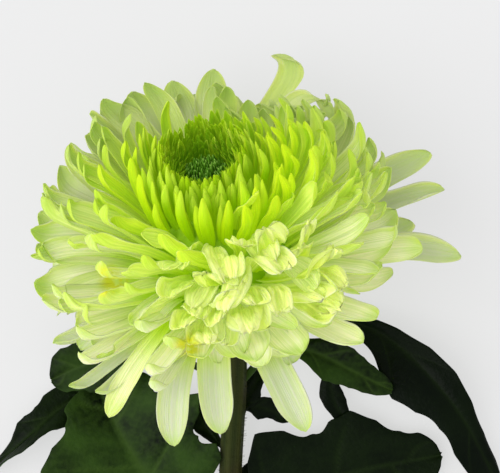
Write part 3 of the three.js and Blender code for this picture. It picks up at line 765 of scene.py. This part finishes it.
def makeReceptacle():
    # the green ground that the petals stand on, seen only between them
    material, tree, shader = newMaterial("receptacle")
    blotch = useMottle(tree, 3.0)
    colour = blended(blotch, receptacle["dark"], receptacle["light"])
    feed(tree, shader, {"Base Color": colour, "Roughness": ramp(blotch, 0.0, 1.0, 0.55, 0.7)})
    at = np.linspace(0, 1, receptacle["rows"])
    fine = np.stack([along(c, at) for c in np.array(receptacle["profile"], float).T], -1)
    addTurned("receptacle", fine, 48, material, ["ray_petals"], "petal")


# The eye of unopened florets
eye = {
    "count": 190,
    "radius": 7,
    "floretRadius": 0.5,
    "rows": 7,
    "sides": 6,
    "dark": (0.008, 0.036, 0.006),
    "green": (0.08, 0.23, 0.008),
    "crest": (0.27, 0.5, 0.07),
    "ground": [[0.3, 41.3], [7.6, 41.3], [8.8, 42.5], [7.2, 44], [4, 45], [0.3, 45.5]],  # radius and height
}


def makeEye():
    # florets stand on a low dome at golden-angle places: each is a bud, a half-ellipse profile whose
    # radius swells to floretRadius and closes in a blunt point
    material, tree, shader = newMaterial("floret")
    # florets darker towards their feet and the ground between them near black: painted shade in the eye's
    # hollow; some crests paler
    height, seed = attribute(tree, "height"), attribute(tree, "seed")
    crest = times(ramp(height, 0.86, 1.0), ramp(seed, 0.3, 0.9))
    layers = [(ramp(height, 0.35, 0.9), eye["green"]), (crest, eye["crest"])]
    blotch = useMottle(tree, 0.8)
    look = {"Base Color": layered(eye["dark"], layers), "Normal": bump(blotch, 0.3, 0.1)}
    look |= {"Roughness": ramp(blotch, 0.0, 1.0, 0.4, 0.6), "Specular IOR Level": 0.15}
    feed(tree, shader, look)
    i = np.arange(eye["count"], dtype=float)
    r = eye["radius"] * np.sqrt((i + 0.5) / eye["count"])
    azimuth = i * goldenAngle
    out, side = spokes(azimuth)
    axis = unit(face - out * (0.03 * r)[:, None])
    third = np.cross(side, axis)
    s = np.linspace(0, 1, eye["rows"])[None, :, None]
    turn = circle(eye["sides"])
    tall = (5.0 + 2.2 * draw(i, 21) - 0.02 * r ** 2)[:, None, None]
    swell = eye["floretRadius"] * (0.75 + 0.5 * draw(i, 22))[:, None, None] * np.sqrt(1 - 0.94 * s ** 2.4)
    foot = inBloom(azimuth, r, 42.6 - 0.02 * r ** 2)
    foot, axis, side, third = (v[:, None, None] for v in (foot, axis, side, third))
    points = foot + axis * (tall * s)[..., None] + side * (swell * np.cos(turn))[..., None]
    points = points + third * (swell * np.sin(turn))[..., None]
    faces = rodFaces(len(i), eye["rows"], eye["sides"])
    values = {"height": s, "seed": draw(i, 23)[:, None, None]}
    addPiece("eye_buds", points, faces, material, ["eye_florets"], "floret", None, values)
    values = {"height": 0, "seed": 0}
    addTurned("eye_ground", eye["ground"], 32, material, ["eye_florets"], "floret", None, values)


# The cup of bracts
cup = {
    "layers": [(5, -13, 7, 8), (8.6, -11, 8, 10), (11.5, -7.5, 7, 12)],  # radius, height, rise, count
    "rows": 12,
    "columns": 8,
    "bowl": [[0.4, -14], [4.5, -14], [8.5, -11.5], [12.5, -6.5], [14, -0.3], [0.4, -0.3]],
    "green": (0.13, 0.24, 0.03),
    "pale": (0.42, 0.5, 0.2),
    "dry": (0.3, 0.2, 0.08),
}


def makeCup():
    # each bract is a pointed spoon: its half width is a sine arch and it leans out with its row
    material, tree, shader = newMaterial("bract")
    u, v = surfacePlace(tree)
    edge = edgeShare(u)
    lines, soft = useStreaks(u, v, attribute(tree, "seed"), 9.0, 2.0)
    layers = [(times(lines, 0.35), cup["pale"]), (ramp(edge, 0.6, 0.95), cup["pale"])]
    layers += [(ramp(edge, 0.93, 1.0, 0.0, 0.8), cup["dry"])]
    look = {"Base Color": layered(cup["green"], layers), "Normal": bump(lines, 0.4, 0.15)}
    feed(tree, shader, look | {"Roughness": ramp(soft, 0.0, 1.0, 0.5, 0.68)})
    rows, columns = cup["rows"], cup["columns"]
    s = np.linspace(0, 1, rows)[:, None]
    t, inner = overAndUnder(columns, 1)
    arch = np.sin(math.pi * np.clip(0.25 + 0.75 * s, 0, 1))
    half = 0.35 + 2.2 * np.power(arch, 0.8)
    lift = 0.22 * half * t ** 2 - 0.2 * inner * np.sqrt(1 - t ** 2)
    sheets, seeds = [], []
    for row, (radius, height, rise, count) in enumerate(cup["layers"]):
        for copy in range(2):
            azimuth = (np.arange(count) + row * 0.5 + copy * 0.5) / count * 2 * math.pi
            out, side = (v[:, None, None] for v in spokes(azimuth))
            r = radius - 0.9 + copy * 0.5 + rise * 0.62 * s
            h = height + copy * 0.9 + rise * np.power(s, 1.15)
            sheet = heart + out * (r - lift)[..., None] + face * h[..., None]
            sheets.append(sheet + side * (half * t)[..., None])
            seeds.append(draw(np.arange(count) + 17 * row + 50 * copy, 31))
    points, values = np.concatenate(sheets), {"seed": np.concatenate(seeds)[:, None, None]}
    faces = sheetFaces(len(points), rows, columns)
    addPiece("bracts", points, faces, material, ["involucre"], "bract", (0.5 + 0.5 * t, s), values)
    addTurned("bract_bowl", cup["bowl"], 40, material, ["involucre"], "bract", (0.5, 0.5), {"seed": 0})


# The stem
stem = {
    "radius": 4.1,
    "ridges": 7,
    "line": [[0, 0, 3.7], [0.6, 30, 3.7], [1.6, 62, 4.6], [2.6, 92, 8.5]],
    "top": (-30, -14.3),  # heights on the bloom's axis that it runs on through
    "rows": 150,
    "sides": 56,
    "hairs": 1600,
    "green": (0.011, 0.019, 0.003),
    "ridge": (0.03, 0.038, 0.006),
    "purple": (0.025, 0.016, 0.006),
    "cut": (0.5, 0.56, 0.3),
}


def tubeAlong(curve, s, radius, sides, shape=1.0):
    # rings round a curve, across it and over it, with radius given at each ring and shape at each side
    middle, _, acrossWay, over = curveFrame(curve, s)
    turn, r = circle(sides), radius[:, None] * shape
    points = middle[:, None] + acrossWay[:, None] * (r * np.cos(turn))[..., None]
    return points + over[:, None] * (r * np.sin(turn))[..., None]


def makeStem():
    # a tube whose radius waves with its ridges round it and swells a little under the bloom
    material, tree, shader = newMaterial("stem")
    lines, soft = useStreaks(*surfacePlace(tree), 0.3, 60.0, 3.0)
    layers = [(times(attribute(tree, "ridge"), 0.8), stem["ridge"])]
    layers += [(times(lines, 0.3), stem["ridge"])]
    layers += [(times(useMottle(tree, 14.0), 0.45), stem["purple"])]
    layers += [(ramp(attribute(tree, "cut"), 0.3, 0.7), stem["cut"])]
    look = {"Base Color": layered(stem["green"], layers), "Normal": bump(lines, 0.4, 0.2)}
    look |= {"Roughness": ramp(soft, 0.0, 1.0, 0.42, 0.6), "Specular IOR Level": 0.08}
    feed(tree, shader, look)
    curve = curveThrough(stem["line"] + [list(inBloom(0.0, 0, h)) for h in stem["top"]])[0]
    sides, rows = stem["sides"], stem["rows"]
    s = np.concatenate([[0, 0, 0.0008], np.linspace(0.003, 1, rows - 3)])
    swell = mix(stem["radius"], stem["radius"] - 0.5, s) + 0.5 * smooth(0.94, 1, s)
    swell[0] *= 0.4
    swell[1:3] *= [0.94, 0.99]
    turn = circle(sides)
    wave = np.cos(stem["ridges"] * turn + 0.6 * np.sin(2.1 * turn))
    shape = 1 - 0.035 + 0.035 * wave[None] + 0.012 * np.sin(9 * s)[:, None]
    points = tubeAlong(curve, s, swell, sides, shape)
    points[..., 2] = np.maximum(points[..., 2], 0)
    uv = (turn / (2 * math.pi), s[:, None])
    values = {"ridge": 0.5 + 0.5 * wave, "cut": (s < 0.0005)[:, None]}  # the end face only
    addPiece("stem_skin", points, rodFaces(1, rows, sides), material, ["stem"], "stem", uv, values)
    makeHairs(curve, material)


def makeHairs(curve, material):
    # short three-sided hairs that lean up the stem, at draws of place and turn
    n = np.arange(stem["hairs"], dtype=float)
    s, turn = 0.02 + 0.95 * draw(n, 51), 2 * math.pi * draw(n, 52)
    middle, heading, acrossWay, over = curveFrame(curve, s)
    out = acrossWay * np.cos(turn)[:, None] + over * np.sin(turn)[:, None]
    side = np.cross(heading, out)
    foot = middle + out * (stem["radius"] - 0.35 - 0.5 * s)[:, None]
    length, lean = 0.7 + 0.7 * draw(n, 53), 0.6 * (draw(n, 54) - 0.5)
    tip = foot + out * length[:, None] + heading * 0.5 + side * lean[:, None]
    keep = tip[:, 2] > 0.3
    foot, tip, side, heading = foot[keep], tip[keep], side[keep], heading[keep]
    ring = [side * 0.07, heading * 0.09, -side * 0.07 - heading * 0.04]
    points = np.stack([foot + v for v in ring] + [tip + v * 0.15 for v in ring], 1).reshape(-1, 2, 3, 3)
    points[..., 2] = np.maximum(points[..., 2], 0)
    faces, values = rodFaces(len(points), 2, 3), {"ridge": 1, "cut": 0}
    addPiece("stem_hairs", points, faces, material, ["stem"], "stem", (0.5, 0.5), values)


# The six leaves, as in the part's own source, but the lower right one reaches further
plainLeaf = {"uneven": 0, "roll": (0, 0), "lobes": 3, "notch": 0.4, "blunt": 4, "fold": 12, "wave": 1}
plainLeaf |= {"sweep": 0.45, "shade": 0, "small": []}  # how far its lobes lean, how dark it is
leaves = {
    "leaf_lower_left": {
        "stalk": [[1, 44, 4], [-4, 52, 4]],
        "rib": [[-12, 62, 5], [-22, 84, 8], [-33, 103, 8], [-41, 119, 4]],
        "wide": 32, "notch": 0.32, "seed": 2,
    },
    "leaf_upper_left": {
        "stalk": [[2, 118, 18], [-6, 124, 18]],
        "rib": [[-18, 128, 18], [-32, 128, 16], [-44, 125, 13], [-55, 120, 9]],
        "wide": 11, "notch": 0.2, "lobes": 2, "shade": 0.3, "seed": 3,
    },
    "leaf_far_left": {
        "stalk": [[1.8, 104, 10], [-10, 112, 4]],
        "rib": [[-36, 115, 2], [-50, 112, 3], [-62, 102, 6.5], [-77, 88, 4]],
        "small": [[[0, 98, 7], [-5, 104, 5.5], [-8, 109, 4.5], [-9.5, 114, 4]]],
        "wide": 8, "roll": (0, 70), "notch": 0.3, "blunt": 2, "shade": 0.8, "seed": 4,
    },
    "leaf_upper_right": {
        "stalk": [[2.3, 116, 17], [8, 122, 15]],
        "rib": [[18, 132, 16], [30, 129, 16.5], [42, 123, 16.5], [54, 117, 15.5]],
        "wide": 7.5, "notch": 0.12, "lobes": 2, "blunt": 2.5, "shade": 0.15, "seed": 5,
    },
    "leaf_far_right": {
        "stalk": [[2.6, 100, 9], [12, 122, 6]],
        "rib": [[30, 142, 4.5], [52, 134, 7], [74, 112, 11], [90, 84, 4.5]],
        "small": [
            [[4, 111, 9], [9, 111.5, 7], [15, 110, 6], [22, 107, 5]],
            [[4.5, 108, 10], [8, 114, 8], [11, 120, 7], [12, 124, 6]],
            [[36, 129, 6], [35, 118, 6], [38, 109, 5], [47, 102.5, 4]],
        ],
        "wide": 11.5, "uneven": 0.3, "blunt": 2.5, "fold": 6, "roll": (0, -10), "notch": 0.32, "lobes": 2,
        "shade": 0.95, "seed": 6,
    },
    "leaf_lower_right": {
        "stalk": [[1.6, 50, 4.5], [4.5, 58, 3.5]],
        "rib": [[6, 68, 3.5], [19, 80, 4.5], [41, 89, 4.5], [71, 95, 3]],
        "small": [[[3, 87, 6], [9, 90, 4], [17, 93, 3.5], [25, 97, 3]]],
        "wide": 26, "blunt": 2.6, "sweep": -0.4, "fold": 8, "notch": 0.3, "shade": 0.9, "seed": 7,
    },
}
leafLook = {
    "thick": 0.7,
    "tip": 0.7,  # half width left at a leaf's two ends
    "slant": 0.16,  # how far the side veins lean towards the end
    "lift": 0.05,  # least height over the surface
    "dark": (0.001, 0.003, 0.001),
    "green": (0.02, 0.047, 0.006),
    "vein": (0.035, 0.07, 0.01),
    "under": (0.05, 0.1, 0.035),
}


def makeLeafMaterial():
    # dark waxy green, lighter along the veins and matt beneath; a leaf's shade darkens it all over towards
    # near black, painted shade
    material, tree, shader = newMaterial("leaf")
    vein, under, shade = attribute(tree, "vein"), attribute(tree, "under"), attribute(tree, "shade")
    blotch, fine = useMottle(tree, 16.0), useMottle(tree, 1.6, 3.0)
    lit = sums("SUBTRACT", 1.0, shade)
    veined = times(vein, sums("MULTIPLY_ADD", lit, 0.5, 0.05))
    layers = [(times(blotch, lit), leafLook["green"]), (times(fine, lit, 0.25), leafLook["vein"])]
    layers += [(veined, leafLook["vein"]), (under, leafLook["under"])]
    rough = sums("ADD", ramp(blotch, 0.0, 1.0, 0.34, 0.46), times(under, 0.2))
    look = {"Base Color": layered(leafLook["dark"], layers), "Roughness": rough}
    feed(tree, shader, look | {"Normal": bump(fine, 0.35, 0.25), "Specular IOR Level": 0.05})
    return material


def makeLeaf(name, shape, material):
    # a blade, its stalk and the small leaves that stand at the stalk's foot
    leaf = {**plainLeaf, **shape}
    curve, length = curveThrough(leaf["rib"])
    makeBlade(name, name + "_blade", leaf, curve, length, material)
    makeStalk(name, leaf, curve, material)
    for k, rib in enumerate(leaf["small"]):
        little = {**leaf, "wide": 4.5, "uneven": 0, "roll": (0, 0), "lobes": 2, "seed": k}
        makeBlade(name, f"{name}_small_{k + 1}", little, *curveThrough(rib), material, 30, 13)


def makeBlade(name, pieceName, leaf, curve, length, material, rows=84, columns=41):
    # a blade over a curved midrib: half width is a blunt oval times its lobes, the edges are lifted by
    # the fold and waved, and veins run from the midrib to the end of each lobe
    s, t = np.linspace(0, 1, rows), acrossSheet(columns)
    middle, heading = onCurve(curve, s)
    flat = unit(np.cross(heading, up))
    turn = np.radians(mix(leaf["roll"][0], leaf["roll"][1], s))[:, None]
    acrossWay = flat * np.cos(turn) + np.cross(heading, flat) * np.sin(turn)
    over = np.cross(acrossWay, heading)
    s, t = np.meshgrid(s, t, indexing="ij")
    edge = np.abs(t)
    oval = smooth(-0.04, 0.42, s) * np.power(1 - np.power(s, leaf["blunt"]), 0.6)
    phase = leaf["lobes"] * s * 1.02 - 0.45 + 0.12 * np.sign(t)
    bay = 0.5 + 0.5 * np.cos(2 * math.pi * phase)
    teeth = 0.05 * np.abs(np.sin(4 * math.pi * phase)) * smooth(0.6, 1, edge)
    lobed = 1 - leaf["notch"] * smooth(0.15, 1, edge) * bay - teeth
    tip = leafLook["tip"]
    half = tip + (leaf["wide"] * (1 + leaf["uneven"] * np.sign(t)) - tip) * oval * lobed
    x = t * half
    forward = leaf["sweep"] * edge * half * (1 - s)
    lift = edge * half * math.sin(math.radians(leaf["fold"]))
    lift += leaf["wave"] * t ** 2 * np.sin(7 * s + leaf["seed"] + t)
    nearest = np.full(s.shape, 9.0)  # distance from the nearest side vein, as a share of the length
    for k in range(-1, leaf["lobes"] + 1):
        lobeEnd = (k + 0.5 + 0.45 - 0.12 * np.sign(t)) / (leaf["lobes"] * 1.02)
        nearest = np.minimum(nearest, np.abs(s - lobeEnd + leafLook["slant"] * (1 - edge)))
    side = hump(nearest * length, 0, 0.7) * (1 - edge ** 3) * (edge > 0.01)
    vein = np.maximum(hump(x, 0, mix(1.1, 0.5, s)), side)
    quilt = 0.35 * np.sin(np.minimum(nearest * length / 5, 1.57)) * (1 - edge ** 2) * smooth(0.05, 0.4, edge)
    grid = middle[:, None] + acrossWay[:, None] * x[..., None] + heading[:, None] * forward[..., None]
    grid = grid + over[:, None] * (lift + quilt)[..., None]
    normal = unit(np.cross(np.gradient(grid, axis=0), np.gradient(grid, axis=1)))
    thick = leafLook["thick"] * np.sqrt(np.maximum(1 - edge ** 6, 0)) / 2
    flip = np.sign((normal * over[:, None]).sum(-1).mean())
    top = grid + normal * flip * (thick - 0.22 * vein)[..., None]
    bottom = grid - normal * flip * (thick + 0.5 * vein)[..., None]
    bothSides = lambda top, bottom: np.concatenate([top, bottom[:, -2:0:-1]], 1)
    sheet = bothSides(top, bottom)
    sheet[..., 2] = np.maximum(sheet[..., 2], leafLook["lift"])
    values = {"vein": bothSides(vein, vein), "under": bothSides(0 * vein, 0 * vein + 1)}
    values["shade"] = leaf["shade"]
    faces = sheetFaces(1, rows, columns)
    addPiece(pieceName, sheet, faces, material, [name], "leaf", None, values)


def makeStalk(name, leaf, curve, material, rows=40, sides=16):
    # a stalk with a groove along its upper side, thinning into the midrib
    rib = onCurve(curve, np.array([0.0, 0.12]))[0].tolist()
    line = curveThrough(leaf["stalk"] + rib)[0]
    s = np.linspace(0, 1, rows)
    groove = 1 - 0.28 * hump(circle(sides), math.pi / 2, 0.4)
    points = tubeAlong(line, s, mix(1.5, 0.8, s), sides, groove)
    points[..., 2] = np.maximum(points[..., 2], leafLook["lift"])
    values = {"vein": 0.7 * groove, "under": 0, "shade": leaf["shade"]}
    addPiece(name + "_stalk", points, rodFaces(1, rows, sides), material, [name], "leaf", None, values)


# The surface, the light and the camera
studio = {
    "floorColour": (0.2, 0.2, 0.205),
    "floorGlow": 0.59,  # an even light from the surface itself, as on a light table
    "sky": 0.86,
    "sun": 2.1,
    "sunSoftness": 60,  # degrees
    "sunFrom": (-0.75, -0.05, 0.9),
    "cameraAt": (1.4, -16.7, 545),  # millimetres, looking straight down
    "lens": 120,
}


def makeStudio():
    scene = bpy.context.scene
    bpy.ops.mesh.primitive_plane_add(size=6, location=(0, 0, -0.0001))
    floor = bpy.context.object
    floor.name = "floor"
    material, tree, shader = newMaterial("floor")
    tint = tuple(c * 0.985 for c in studio["floorColour"])
    colour = blended(useMottle(tree, 400.0), studio["floorColour"], tint)
    white = (1, 1, 1, 1)
    look = {"Base Color": colour, "Roughness": 0.9, "Specular IOR Level": 0.1}
    feed(tree, shader, look | {"Emission Color": white, "Emission Strength": studio["floorGlow"]})
    floor.data.materials.append(material)
    scene.world = bpy.data.worlds.new("soft sky")
    scene.world.use_nodes = True
    background = scene.world.node_tree.nodes["Background"]
    feed(scene.world.node_tree, background, {"Color": white, "Strength": studio["sky"]})
    light = bpy.data.lights.new("window", "SUN")
    light.energy = studio["sun"]
    light.angle = math.radians(studio["sunSoftness"])
    sun = bpy.data.objects.new("window", light)
    scene.collection.objects.link(sun)
    away = unit(np.array(studio["sunFrom"], float))
    sun.rotation_euler = (math.acos(away[2]), 0, math.atan2(away[1], away[0]) + math.pi / 2)
    camera = bpy.data.cameras.new("camera")
    camera.lens = studio["lens"]
    camera.clip_start, camera.clip_end = 0.05, 10
    eyePoint = bpy.data.objects.new("camera", camera)
    eyePoint.location = [c * 0.001 for c in studio["cameraAt"]]
    scene.collection.objects.link(eyePoint)
    scene.camera = eyePoint
    scene.view_settings.view_transform = "Standard"


makePetals()
makeReceptacle()
makeEye()
makeCup()
makeStem()
leafMaterial = makeLeafMaterial()
for leafName, leafShape in leaves.items():
    makeLeaf(leafName, leafShape, leafMaterial)
makeStudio()

bpy.context.view_layer.update()
